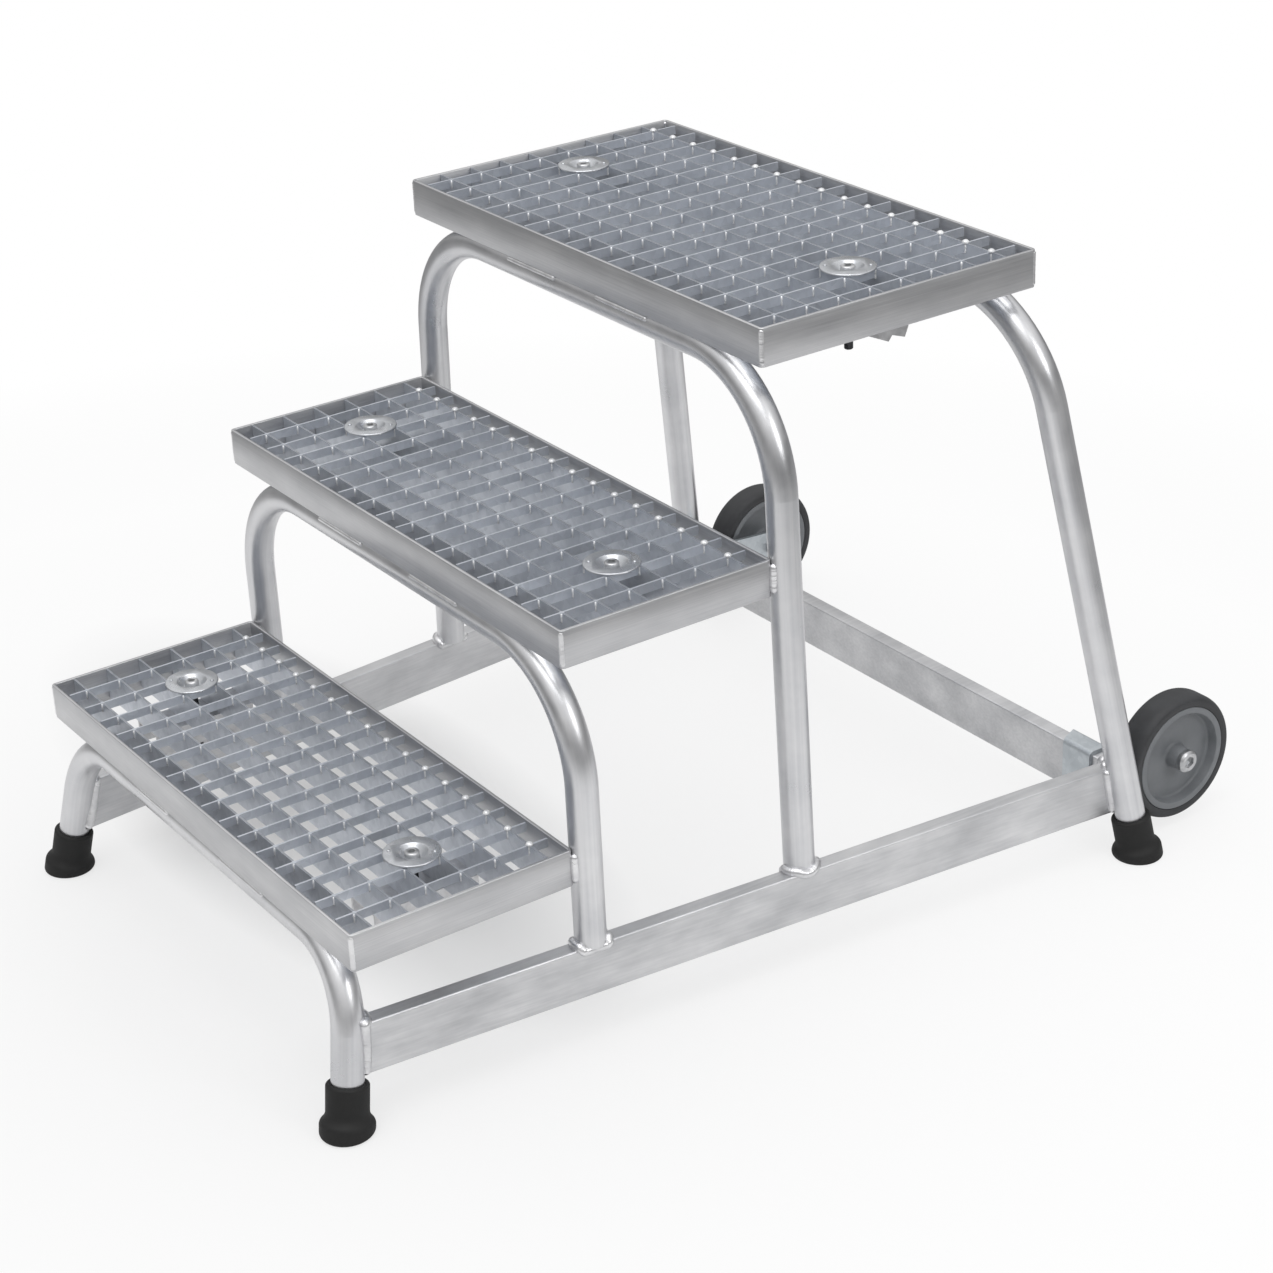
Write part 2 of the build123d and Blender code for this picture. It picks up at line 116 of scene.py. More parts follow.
STEP_IN = (0.008, 0.0012)    # from a post's axis inwards and from a step's back face
POST_TURNS = 48
WELD_SEED = 7

# Zinc drops at the crossings of the gratings, and the pressed pips of the clips
DROP_R = 0.0036
DROP_H = 0.0030
FILLET_R = 0.0012            # zinc in the corner of a crossing
FILLET_SIDES = 6
PIP_R = 0.0018
PIP_H = 0.0011
PIP_OUT = 0.0195             # from the clip's middle to a pip
PIP_TURN = math.radians(50)

# The clips' saddles, which reach lower than the solids and run from front to back
SADDLE_W = 0.040
SADDLE_T = 0.003
SADDLE_FRONT = -0.050        # from the clip's middle to the saddle's plain front end
SADDLE_EDGE = 0.054          # from the tread's top down to the front half's edge
# The back half's two teeth: back from the clip's middle and down from the tread's top
SADDLE_TEETH = [(0.0, 0.056), (0.028, 0.069), (0.032, 0.064), (0.046, 0.069), (0.050, 0.060)]
TAIL_MORE = 0.0245           # how much lower a clip's bolt ends than its solid

# Rounding of crisp edges, by how a node's name starts
EDGE = {
    "frame": 0.0006, "clip_disc": 0.0004, "clip_bolt": 0.0003, "axle_bolt": 0.0004, "axle_nut": 0.0006,
    "cross_rail": 0.0003,
}
SADDLE_ROUND = 0.0003
EDGE_ANGLE = math.radians(35)    # an edge that turns further than this is crisp
FLAT_ANGLE = math.radians(0.2)   # facets that turn less than this are one face
SAME_PLACE = 1e-6

# Wheels
WHEEL_R = 0.0625
TYRE_HALF = 0.015
TYRE_BORE = 0.052
TYRE_SIDE = 0.0575           # top of the flat side wall
TYRE_CROWN = 0.006           # half width of the flat crown
TYRE_CHAMFER = 0.0006
TYRE_LIP = 0.001             # the side wall's flat ends this far inside the shoulder
SHOULDER_STEPS = 12
HUB_R = 0.0517
HUB_HALF = 0.018
HUB_RIM = 0.006
HUB_WEB = 0.004
HUB_DRAFT = 0.002
BOSS_R = 0.012
BOSS_TIP = 0.0105
BOSS_BORE = 0.00505
HUB_FILLET = 0.003           # in the dish's corners
HUB_ROUND = 0.0012           # on the boss's tip and the rim's inner edge
RIM_ROUND = 0.0006
BORE_ROUND = 0.0003
TURNS = 128

# Camera: degrees, metres from the aim to the lens axis and along it, and the focal length in pixels
# of an image 1273 pixels wide
CAMERA_AZIMUTH = 56.21
CAMERA_ELEVATION = 26.27
CAMERA_ROLL = -2.73
CAMERA_AIM = (0, 0.0003, 0.3)
CAMERA_OFFSET = (-0.02896, 0.08649)
CAMERA_DISTANCE = 2.58084
FOCAL_PIXELS = 2799.73
IMAGE_PIXELS = 1273
SENSOR_MM = 36

FLOOR_R = 14.0
FLOOR_SIDES = 96
FLOOR_ROUGH = 0.9
LIT_POOL = (0.05, -0.30, 0)      # middle of the pool of light painted into the floor's grey
LIT_POOL_REACH = 2.0             # from there to the plain grey floor
# Distance from the pool's middle as a share of its reach, with the floor's grey there, which paints
# a pool of light round the platform, and the share of plain white that the camera sees in it
FLOOR_STOPS = [
    (0.12, 0.76, 0.66), (0.40, 0.85, 0.80), (0.54, 0.80, 0.90), (0.81, 0.31, 1.0), (1.0, 0.18, 1.0)
]
# Under the lowest tread the camera sees the shaded floor itself: the patch's middle and half axes, and
# stops of distance over twice those with the share of the white that is left
SHADE = (-0.24, -0.20, 0)
SHADE_REACH = (0.34, 0.13, 1)
SHADE_STOPS = [(0.40, 0.12), (0.75, 1.0)]
# Height on the dome, with its grey there
DOME_STOPS = [(0.0, 0.0), (0.18, 0.13), (0.45, 0.70), (0.80, 0.92)]
GLOSSY_SHARE = 0.2           # share of the camera's white that metal shows
# Place in metres, size in metres and power in watts
LAMPS = {"overhead": ((0.6, -0.8, 3.2), 2.4, 36), "side": ((2.6, 0.6, 1.8), 0.8, 10)}


# Places on the frame

def leg_end(bow, side):
    """Middle of a leg's cut lower end."""
    points = [v.co for v in frame["nodes"][f"{bow}_bow"].data.vertices if v.co.x * side > 0]
    low = min(p.z for p in points)
    ring = [p for p in points if p.z < low + RING_BAND]
    return Vector([(min(p[i] for p in ring) + max(p[i] for p in ring)) / 2 for i in range(3)])


LEG_END = {(bow, side): leg_end(bow, side) for bow in LEG_TILT for side in SIDES.values()}


def leg_at(bow, side, z):
    """A point on a leg's axis at the height z."""
    splay, lean = (math.tan(math.radians(angle)) for angle in LEG_TILT[bow])
    end = LEG_END[bow, side]
    return end + (z - end.z) * Vector((-side * splay, -lean, 1))


RAIL_LOW, RAIL_TOP = (corner.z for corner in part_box("rail_right"))
RAIL_MID = (RAIL_LOW + RAIL_TOP) / 2
RAIL_START = leg_at("front", 1, RAIL_MID) - Vector((RAIL_FRONT_INSET, 0, 0))
RAIL_END = leg_at("rear", 1, RAIL_MID) - Vector((RAIL_REAR_INSET, 0, 0))
RAIL_RUN = (RAIL_END - RAIL_START).normalized()
RAIL_OUT = Vector((RAIL_RUN.y, -RAIL_RUN.x, 0))


def rail_point(side, along, out, z):
    """A point given along a rail from its start, out from its centreline and by its height."""
    point = RAIL_START + RAIL_RUN * along + RAIL_OUT * out
    return Vector((side * point.x, point.y, z))


def on_rail(bow, z):
    """A right leg's axis at a height, as (along, out) of the right rail."""
    offset = leg_at(bow, 1, z) - RAIL_START
    return offset.dot(RAIL_RUN), offset.dot(RAIL_OUT)


# Mesh helpers

def new_piece(name, mesh, material, body="platform"):
    """Link a finished mesh as a piece that rides on a body."""
    piece = bpy.data.objects.new(name, mesh)
    bpy.context.scene.collection.objects.link(piece)
    mesh.materials.clear()
    mesh.materials.append(material)
    mesh.shade_smooth()
    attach(piece, body)
    return piece


def mesh_from(name, verts, faces):
    """A mesh of closed shells whose faces point outwards."""
    mesh = bpy.data.meshes.new(name)
    mesh.from_pydata(verts, [], faces)
    mesh.validate()
    build = bmesh.new()
    build.from_mesh(mesh)
    bmesh.ops.recalc_face_normals(build, faces=build.faces)
    build.to_mesh(mesh)
    build.free()
    return mesh


def spaced(path, step):
    """Even points along a path, about one step apart."""
    lengths = [0.0]
    for a, b in zip(path, path[1:]):
        lengths.append(lengths[-1] + (b - a).length)
    count = max(4, round(lengths[-1] / step))
    points = []
    piece = 0
    for i in range(count + 1):
        want = lengths[-1] * i / count
        while piece < len(path) - 2 and lengths[piece + 1] < want:
            piece += 1
        share = (want - lengths[piece]) / (lengths[piece + 1] - lengths[piece])
        points.append(path[piece].lerp(path[piece + 1], share))
    return points


class Beads:
    """Collects rippled weld beads into one mesh."""

    def __init__(self, seed):
        self.verts = []
        self.faces = []
        self.draw = random.Random(seed)

    def ring(self, centre, normal, binormal, radius):
        start = len(self.verts)
        for k in range(BEAD_SIDES):
            turn = 2 * math.pi * k / BEAD_SIDES
            self.verts.append(centre + (normal * math.cos(turn) + binormal * math.sin(turn)) * radius)
        return start

    def bridge(self, a, b):
        for k in range(BEAD_SIDES):
            n = (k + 1) % BEAD_SIDES
            self.faces.append((a + k, a + n, b + n, b + k))

    def add(self, path, radius):
        """One bead along a path; its ends are rounded off, and a closed path laps over its start."""
        points = spaced(path, RIPPLE_PITCH / RIPPLE_STEPS)
        step = (points[1] - points[0]).length
        normal = (points[1] - points[0]).orthogonal().normalized()
        rings = []
        swell = 1.0
        for i, point in enumerate(points):
            ahead = points[min(i + 1, len(points) - 1)]
            behind = points[max(i - 1, 0)]
            tangent = (ahead - behind).normalized()
            normal = (normal - tangent * normal.dot(tangent)).normalized()
            if i % RIPPLE_STEPS == 0:
                swell = self.draw.uniform(1 - SWELL, 1 + SWELL)
            wave = abs(math.sin(math.pi * i / RIPPLE_STEPS))
            from_end = min(i, len(points) - 1 - i) * step
            cap = math.sqrt(max(CAP_LEAST, 1 - max(0, 1 - from_end / radius) ** 2))
            size = radius * cap * swell * (1 - RIPPLE * (1 - wave))
            rings.append(self.ring(point, normal, tangent.cross(normal), size))
        for a, b in zip(rings, rings[1:]):
            self.bridge(a, b)
        self.faces.append(tuple(reversed(range(rings[0], rings[0] + BEAD_SIDES))))
        self.faces.append(tuple(range(rings[-1], rings[-1] + BEAD_SIDES)))

    def piece(self, name, material):
        return new_piece(name, mesh_from(name, self.verts, self.faces), material)


def lathe(name, profile, place):
    """A closed ring turned about the local Z axis from (radius, height) points."""
    verts = []
    faces = []
    count = len(profile)
    for t in range(TURNS):
        turn = 2 * math.pi * t / TURNS
        for r, z in profile:
            verts.append(place @ Vector((r * math.cos(turn), r * math.sin(turn), z)))
        base = t * count
        ahead = (t + 1) % TURNS * count
        for k in range(count):
            n = (k + 1) % count
            faces.append((base + k, ahead + k, ahead + n, base + n))
    return mesh_from(name, verts, faces)


def rounded(corners, radii, steps=6):
    """A (radius, height) outline with its corners rounded."""
    outline = []
    count = len(corners)
    for i, radius in enumerate(radii):
        corner = Vector(corners[i])
        before = (Vector(corners[i - 1]) - corner).normalized()
        after = (Vector(corners[(i + 1) % count]) - corner).normalized()
        if radius == 0:
            outline.append(tuple(corner))
            continue
        half = before.angle(after) / 2
        reach = radius / math.tan(half)
        middle = corner + (before + after).normalized() * radius / math.sin(half)
        start = corner + before * reach - middle
        end = corner + after * reach - middle
        for k in range(steps + 1):
            outline.append(tuple(middle + start.normalized().slerp(end.normalized(), k / steps) * radius))
    return outline


def dome(verts, faces, centre, radius, height, rings=4, sides=12):
    """A low round drop on a level surface, closed below."""
    first = len(verts)
    for ring in range(rings):
        lift = math.pi / 2 * ring / rings
        for k in range(sides):
            turn = 2 * math.pi * k / sides
            out = radius * math.cos(lift)
            rise = height * math.sin(lift)
            verts.append(centre + Vector((out * math.cos(turn), out * math.sin(turn), rise)))
    verts.append(centre + Vector((0, 0, height)))
    for ring in range(rings - 1):
        for k in range(sides):
            n = (k + 1) % sides
            a = first + ring * sides
            b = a + sides
            faces.append((a + k, a + n, b + n, b + k))
    last = first + (rings - 1) * sides
    for k in range(sides):
        faces.append((last + k, last + (k + 1) % sides, len(verts) - 1))
    faces.append(tuple(reversed(range(first, first + sides))))


def prism(verts, faces, outline, offset):
    """A closed plate from an outline and the vector through its thickness."""
    first = len(verts)
    count = len(outline)
    verts.extend(outline)
    verts.extend(point + offset for point in outline)
    faces.append(tuple(reversed(range(first, first + count))))
    faces.append(tuple(range(first + count, first + 2 * count)))
    for k in range(count):
        n = (k + 1) % count
        faces.append((first + k, first + n, first + count + n, first + count + k))


def rounded_edges(piece, width):
    """A narrow rounding on a piece's sharp edges."""
    bevel = piece.modifiers.new("edge", "BEVEL")
    bevel.width = width
    bevel.segments = 2
    bevel.limit_method = "ANGLE"
    bevel.angle_limit = EDGE_ANGLE
    bevel.harden_normals = True


def softened(node, width, material):
    """A copy of a node's mesh with its sharp edges rounded off, which stands for the node."""
    source = frame["nodes"][node]
    mesh = source.data.copy()
    build = bmesh.new()
    build.from_mesh(mesh)
    bmesh.ops.remove_doubles(build, verts=build.verts, dist=SAME_PLACE)
    bmesh.ops.dissolve_limit(build, angle_limit=FLAT_ANGLE, verts=build.verts, edges=build.edges)
    middle = sum(corner.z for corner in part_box(node)) / 2
    tailed = node.startswith("clip_bolt")
    if tailed:
        for vert in build.verts:
            if vert.co.z < middle:
                vert.co.z -= TAIL_MORE
    build.to_mesh(mesh)
    build.free()
    piece = new_piece(f"{node}_finished", mesh, material, source["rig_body"])
    if tailed:
        mesh.materials.append(TAIL)
        for face in mesh.polygons:
            face.material_index = int(face.center.z < middle)
    rounded_edges(piece, width)
    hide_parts(node)


# Materials

NOISE_SPAN = (0.3, 0.7)      # the part of a noise's range that sets the gloss
FACES_UP = 0.7               # a face whose normal rises more than this is a top, which takes the grating's painted shade
MIX_A, MIX_B, MIX_RESULT = 6, 7, 2    # places of a Mix node's colour sockets


class Finish:
    """A node material, with short calls for the nodes that the finishes share."""

    def __init__(self, name, metallic):
        self.material = bpy.data.materials.new(name)
        self.material.use_nodes = True
        self.tree = self.material.node_tree
        self.shader = self.tree.nodes["Principled BSDF"]
        self.shader.inputs["Metallic"].default_value = metallic
        self.place = self.node("TexCoord").outputs["Object"]

    def node(self, kind, **settings):
        made = self.tree.nodes.new(f"ShaderNode{kind}")
        for key, value in settings.items():
            setattr(made, key, value)
        return made

    def link(self, source, target):
        self.tree.links.new(source, target)

    def scaled(self, scale, vector=None):
        """Coordinates stretched by a factor along each axis."""
        mapping = self.node("Mapping")
        mapping.inputs["Scale"].default_value = scale
        self.link(vector or self.place, mapping.inputs["Vector"])
        return mapping.outputs["Vector"]

    def noise(self, scale, detail=3.0, vector=None):
        """Noise from 0 to 1, with its own scale along each axis, in waves a metre."""
        noise = self.node("TexNoise")
        noise.inputs["Scale"].default_value = 1.0
        noise.inputs["Detail"].default_value = detail
        self.link(self.scaled(scale, vector), noise.inputs["Vector"])
        return noise.outputs["Fac"]

    def cells(self, scale):
        """A random grey for each cell of a size, as in zinc spangle."""
        cells = self.node("TexVoronoi")
        cells.inputs["Scale"].default_value = scale
        self.link(self.place, cells.inputs["Vector"])
        split = self.node("SeparateColor")
        self.link(cells.outputs["Color"], split.inputs["Color"])
        return split.outputs["Red"]

    def added(self, a, b, share):
        """a and b mixed, with that share of b."""
        mix = self.node("Mix")
        mix.inputs["Factor"].default_value = share
        self.link(a, mix.inputs["A"])
        self.link(b, mix.inputs["B"])
        return mix.outputs["Result"]

    def along(self, direction):
        """Distance along a direction, as a coordinate."""
        dot = self.node("VectorMath", operation="DOT_PRODUCT")
        dot.inputs[1].default_value = direction
        self.link(self.place, dot.inputs[0])
        return dot.outputs["Value"]

    def joined(self, x, y, z):
        join = self.node("CombineXYZ")
        for source, target in zip((x, y, z), join.inputs):
            self.link(source, target)
        return join.outputs["Vector"]

    def ramp(self, factor, stops):
        """Colours from a ramp of (position, colour) stops."""
        ramp = self.node("ValToRGB")
        for extra in stops[2:]:
            ramp.color_ramp.elements.new(extra[0])
        for element, (position, shade) in zip(ramp.color_ramp.elements, sorted(stops)):
            element.position = position
            element.color = (*shade, 1)
        self.link(factor, ramp.inputs["Fac"])
        return ramp.outputs["Color"]

    def colour(self, factor, *stops):
        """Base colour from a ramp of (position, colour) stops."""
        self.link(self.ramp(factor, stops), self.shader.inputs["Base Color"])

    def maths(self, operation, *values):
        """A Math node; each value is a number or an output."""
        made = self.node("Math", operation=operation)
        for value, target in zip(values, made.inputs):
            if isinstance(value, (int, float)):
                target.default_value = value
            else:
                self.link(value, target)
        return made.outputs[0]

    def roughness(self, factor, low, high):
        span = self.node("MapRange")
        span.inputs["From Min"].default_value = NOISE_SPAN[0]
        span.inputs["From Max"].default_value = NOISE_SPAN[1]
        span.inputs["To Min"].default_value = low
        span.inputs["To Max"].default_value = high
        self.link(factor, span.inputs["Value"])
        self.link(span.outputs["Result"], self.shader.inputs["Roughness"])

    def bump(self, height, depth, strength=1.0):
        bump = self.node("Bump")
        bump.inputs["Distance"].default_value = depth
        bump.inputs["Strength"].default_value = strength
        self.link(height, bump.inputs["Height"])
        self.link(bump.outputs["Normal"], self.shader.inputs["Normal"])


def tube_finish(bow):
    """Drawn aluminium tube: soft streaks along the tube and dull smudges."""
    finish = Finish(f"aluminium_tube_{bow}", 1.0)
    lean = math.tan(math.radians(LEG_TILT[bow][1]))
    across = finish.along((0, 1, lean))
    along_x = finish.along((1, 0, 0))
    along_z = finish.along((0, 0, 1))
    place = finish.joined(along_x, across, along_z)
    streaks = finish.noise((5, 320, 5), 2, place)
    smudges = finish.noise((26, 26, 26), 4)
    mixed = finish.added(streaks, smudges, 0.6)
    finish.colour(mixed, (0.32, (0.60, 0.605, 0.625)), (0.68, (0.80, 0.80, 0.81)))
    finish.roughness(smudges, 0.27, 0.40)
    finish.bump(streaks, 0.00003)
    return finish.material


def rail_finish():
    """Mill-finished rail: cloudy smudges and fine lines along its length."""
    finish = Finish("aluminium_rail", 1.0)
    lines = finish.noise((300, 4, 420), 2)
    clouds = finish.noise((22, 16, 30), 5)
    mixed = finish.added(clouds, lines, 0.3)
    finish.colour(mixed, (0.30, (0.52, 0.525, 0.54)), (0.70, (0.76, 0.76, 0.77)))
    finish.roughness(clouds, 0.48, 0.34)
    finish.bump(lines, 0.00003)
    return finish.material


def flat_finish():
    """Brushed flat bar: fine level lines and a few dull patches."""
    finish = Finish("aluminium_flat", 1.0)
    level = finish.along((1, 1, 0))
    height = finish.along((0, 0, 1))
    place = finish.joined(level, level, height)
    lines = finish.noise((7, 7, 900), 2, place)
    clouds = finish.noise((14, 14, 40), 4)
    mixed = finish.added(lines, clouds, 0.55)
    finish.colour(mixed, (0.32, (0.50, 0.505, 0.52)), (0.68, (0.68, 0.68, 0.69)))
    finish.roughness(lines, 0.33, 0.45)
    finish.bump(lines, 0.00004)
    return finish.material


def weld_finish():
    """Bright weld metal with dull soot here and there."""
    finish = Finish("weld_metal", 1.0)
    soot = finish.noise((60, 60, 60), 4)
    finish.colour(soot, (0.30, (0.66, 0.66, 0.675)), (0.60, (0.84, 0.84, 0.85)))
    finish.roughness(soot, 0.36, 0.26)
    finish.bump(finish.noise((900, 900, 900), 2), 0.00004)
    return finish.material


def zinc_pattern(finish, grain, rough):
    """Spangle of a grain size over cloudy patches, which also set the gloss and a faint relief."""
    spangle = finish.cells(1 / grain)
    clouds = finish.noise((34, 34, 34), 4)
    mixed = finish.added(clouds, spangle, 0.2)
    finish.roughness(mixed, rough[0], rough[1])
    finish.bump(clouds, 0.00004)
    return mixed


def zinc_finish(name, metallic, dark, bright, grain, rough):
    """Zinc coat; dull zinc is less metallic."""
    finish = Finish(name, metallic)
    mixed = zinc_pattern(finish, grain, rough)
    finish.colour(mixed, (0.25, dark), (0.75, bright))
    return finish.material


def grating_finish():
    """Dull zinc, with painted shade: the bearing bars' tops get a darker copy of the zinc than the cross bars
    and the sides.
    """
    finish = Finish("galvanised_grating", 0.62)
    mixed = zinc_pattern(finish, 0.007, (0.44, 0.32))
    zinc = finish.ramp(mixed, [(0.25, (0.50, 0.53, 0.58)), (0.75, (0.68, 0.71, 0.765))])
    # painted shade: a darker copy of the zinc, for the bearing bars' tops
    painted_top_shade = finish.ramp(mixed, [(0.25, (0.27, 0.29, 0.325)), (0.75, (0.39, 0.41, 0.45))])
    facing = finish.node("SeparateXYZ")
    finish.link(finish.node("NewGeometry").outputs["Normal"], facing.inputs[0])
    up = finish.maths("GREATER_THAN", facing.outputs["Z"], FACES_UP)
    across = finish.maths("PINGPONG", finish.along((1, 0, 0)), MESH / 2)
    between = finish.maths("LESS_THAN", across, MESH / 2 - BAR_T)
    shade = finish.node("Mix", data_type="RGBA")
    finish.link(finish.maths("MULTIPLY", up, between), shade.inputs["Factor"])
    finish.link(zinc, shade.inputs[MIX_A])
    finish.link(painted_top_shade, shade.inputs[MIX_B])
    finish.link(shade.outputs[MIX_RESULT], finish.shader.inputs["Base Color"])
    return finish.material


def steel_finish(name, dark, bright):
    """Turned or pressed steel with fine lines."""
    finish = Finish(name, 1.0)
    stains = finish.noise((120, 120, 120), 5)
    finish.colour(stains, (0.3, dark), (0.7, bright))
    finish.roughness(stains, 0.30, 0.46)
    finish.bump(stains, 0.00005)
    return finish.material


def rubber_finish(name, dark, bright, rough):
    """Moulded rubber: fine pores, with dust in pale patches."""
    finish = Finish(name, 0.0)
    pores = finish.noise((1400, 1400, 1400), 2)
    dust = finish.noise((45, 45, 45), 6)
    finish.colour(dust, (0.38, dark), (0.72, bright))
    finish.roughness(dust, rough[0], rough[1])
    finish.bump(pores, 0.00012)
    return finish.material


def hub_finish():
    """Moulded plastic with a faint eggshell grain."""
    finish = Finish("hub_plastic", 0.0)
    grain = finish.noise((900, 900, 900), 2)
    scuffs = finish.noise((50, 50, 50), 5)
    finish.colour(scuffs, (0.3, (0.170, 0.180, 0.192)), (0.7, (0.215, 0.225, 0.238)))
    finish.roughness(scuffs, 0.42, 0.55)
    finish.bump(grain, 0.00008)
    return finish.material


TUBE = {bow: tube_finish(bow) for bow in LEG_TILT}
WELD = weld_finish()
# Zinc of the drops and fillets at the crossings: real zinc, and partly a painted highlight, being paler and
# less metallic than the grating's so that it shows as glints and light lines
GLINT_ZINC = zinc_finish("zinc_painted_glints", 0.35, (0.70, 0.71, 0.73), (0.88, 0.89, 0.90), 0.004, (0.34, 0.22))
TAIL = steel_finish("bolt_tail", (0.030, 0.030, 0.032), (0.075, 0.075, 0.080))
SLOT_FINISH = {
    "aluminium_rail": rail_finish(),
    "aluminium_flat": flat_finish(),
    "galvanised_grating": grating_finish(),
    "zinc_clip": zinc_finish("zinc_clip", 0.9, (0.47, 0.485, 0.51), (0.66, 0.675, 0.70), 0.004, (0.36, 0.24)),
    "zinc_bracket": zinc_finish(
        "zinc_bracket", 0.9, (0.50, 0.54, 0.57), (0.66, 0.70, 0.73), 0.005, (0.48, 0.36)
    ),
    "saddle_steel": steel_finish("saddle_steel", (0.50, 0.50, 0.51), (0.68, 0.68, 0.69)),
    "bolt_steel": steel_finish("bolt_steel", (0.42, 0.43, 0.44), (0.70, 0.70, 0.71)),
    "foot_rubber": rubber_finish("foot_rubber", (0.004, 0.004, 0.004), (0.010, 0.010, 0.010), (0.60, 0.80)),
    "tyre_rubber": rubber_finish("tyre_rubber", (0.030, 0.031, 0.034), (0.050, 0.052, 0.056), (0.48, 0.66)),
    "hub_plastic": hub_finish(),
}
NODE_SLOT = {part["node"]: part["material_slot"] for part in frame["record"]["subparts"]}


# Dressing

def dress_solids():
    """Finish every node; those with crisp edges get a copy with the edges rounded off."""
    for node, solid in frame["nodes"].items():
        slot = NODE_SLOT[node]
        if node.endswith("_bow"):
            material = TUBE[node.split("_")[0]]
        else:
            material = SLOT_FINISH[slot]
        widths = [width for start, width in EDGE.items() if node.startswith(start)]
        if widths:
            softened(node, widths[0], material)
        for place in solid.material_slots:
            place.material = material


def post_path(bow, side):
    """Round the foot of a leg that stands on a rail, dipping where the tube overhangs the rail."""
    along, out = on_rail(bow, RAIL_TOP)
    reach = TUBE_R + POST_OFF
    edge = RAIL_W / 2 + POST_OFF
    path = []
    for k in range(POST_TURNS + 1):
        turn = 2 * math.pi * k / POST_TURNS
        across = out + reach * math.sin(turn)
        over = max(0.0, min(1.0, (abs(across) - edge + POST_DIP_START) / POST_DIP_RUN))
        held = max(-edge, min(edge, across))
        height = RAIL_TOP + POST_LIFT - POST_DIP * over
        path.append(rail_point(side, along + reach * math.cos(turn), held, height))
    return path


def seam_point(bow, side, out, z, way):
    """Where a rail's surface meets a leg, before (way -1) or behind (way 1) the leg's axis."""
    leg_along, leg_out = on_rail(bow, z)
    reach = TUBE_R + SEAM_OFF
    half = math.sqrt(max(0.0, reach ** 2 - (out - leg_out) ** 2))
    return rail_point(side, leg_along + way * half, out, z)


def seam_heights():
    """Heights up a rail's face, from near its lower edge to just over its top."""
    low = RAIL_LOW + SEAM_LOW
    top = RAIL_TOP + SEAM_OUT
    return [low + (top - low) * k / SEAM_STEPS for k in range(SEAM_STEPS + 1)]


def front_seam(side):
    """Up the outer face of a rail's front end, over its top and down the inner face."""
    edge = RAIL_W / 2 + SEAM_OUT
    top = RAIL_TOP + SEAM_OUT
    outer = [(edge, z) for z in seam_heights()]
    over = [(edge - 2 * edge * k / SEAM_STEPS, top) for k in range(1, SEAM_STEPS)]
    inner = [(-out, z) for out, z in reversed(outer)]
    return [seam_point("front", side, out, z, 1) for out, z in outer + over + inner]


def rear_seam(side):
    """Up the outer face of a rail before a rear leg, round the leg's notch and down behind it."""
    edge = RAIL_W / 2 + SEAM_OUT
    top = RAIL_TOP + SEAM_OUT
    heights = seam_heights()
    before = [seam_point("rear", side, edge, z, -1) for z in heights]
    leg_along, leg_out = on_rail("rear", top)
    reach = TUBE_R + SEAM_OFF
    wide = math.acos((edge - leg_out) / reach)
    notch = []
    for k in range(1, NOTCH_STEPS):
        turn = wide + 2 * (math.pi - wide) * k / NOTCH_STEPS
        notch.append(rail_point(
            side, leg_along + reach * math.sin(turn), leg_out + reach * math.cos(turn), top
        ))
    behind = [seam_point("rear", side, edge, z, 1) for z in reversed(heights)]
    return before, notch, behind


def weld_posts():
    """The feet of the middle and upper bows on the rails."""
    beads = Beads(WELD_SEED)
    for bow in ("middle", "upper"):
        for side in SIDES.values():
            beads.add(post_path(bow, side), POST_BEAD)
    beads.piece("weld_posts", WELD)


def weld_rails():
    """The rails' ends on the legs, and the cross rail between the rails."""
    beads = Beads(WELD_SEED + 1)
    cross_low, cross_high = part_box("cross_rail")
    for side in SIDES.values():
        beads.add(front_seam(side), RAIL_BEAD)
        before, notch, behind = rear_seam(side)
        for seam in (before, notch, behind):
            beads.add(seam, RAIL_BEAD)
        near, far = ((y - RAIL_START.y) / RAIL_RUN.y for y in (cross_low.y, cross_high.y))
        turns = [(near, RAIL_LOW), (near, RAIL_TOP), (far, RAIL_TOP), (far, RAIL_LOW)]
        corners = [rail_point(side, along, -RAIL_W / 2 - CROSS_OFF, z) for along, z in turns]
        beads.add(corners, RAIL_BEAD)
    beads.piece("weld_rails", WELD)


def weld_corners():
    """Upright beads on the treads' corners, and where a step's back corners meet the posts."""
    beads = Beads(WELD_SEED + 2)
    inward = FLAT_CORNER * (1 - math.sqrt(0.5)) + CORNER_IN
    behind = {"lower": "middle", "middle": "upper"}
    for tread in TREADS:
        low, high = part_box(f"frame_{tread}")
        for side in SIDES.values():
            ends = [(low.y, 1)] if tread in behind else [(low.y, 1), (high.y, -1)]
            x = side * (high.x - inward)
            for y, way in ends:
                heights = (low.z + CORNER_END, high.z - CORNER_END)
                beads.add([Vector((x, y + way * inward, z)) for z in heights], CORNER_BEAD)
            if tread in behind:
                outer = []
                inner = []
                for z in (low.z + STEP_LOW, high.z - STEP_HIGH):
                    leg = leg_at(behind[tread], side, z)
                    outer.append(Vector((side * (high.x + STEP_OUT[0]), high.y + STEP_OUT[1], z)))
                    inner.append(Vector((leg.x - side * STEP_IN[0], high.y + STEP_IN[1], z)))
                beads.add(outer, STEP_BEAD)
                beads.add(inner, RUN_BEAD)
    beads.piece("weld_corners", WELD)


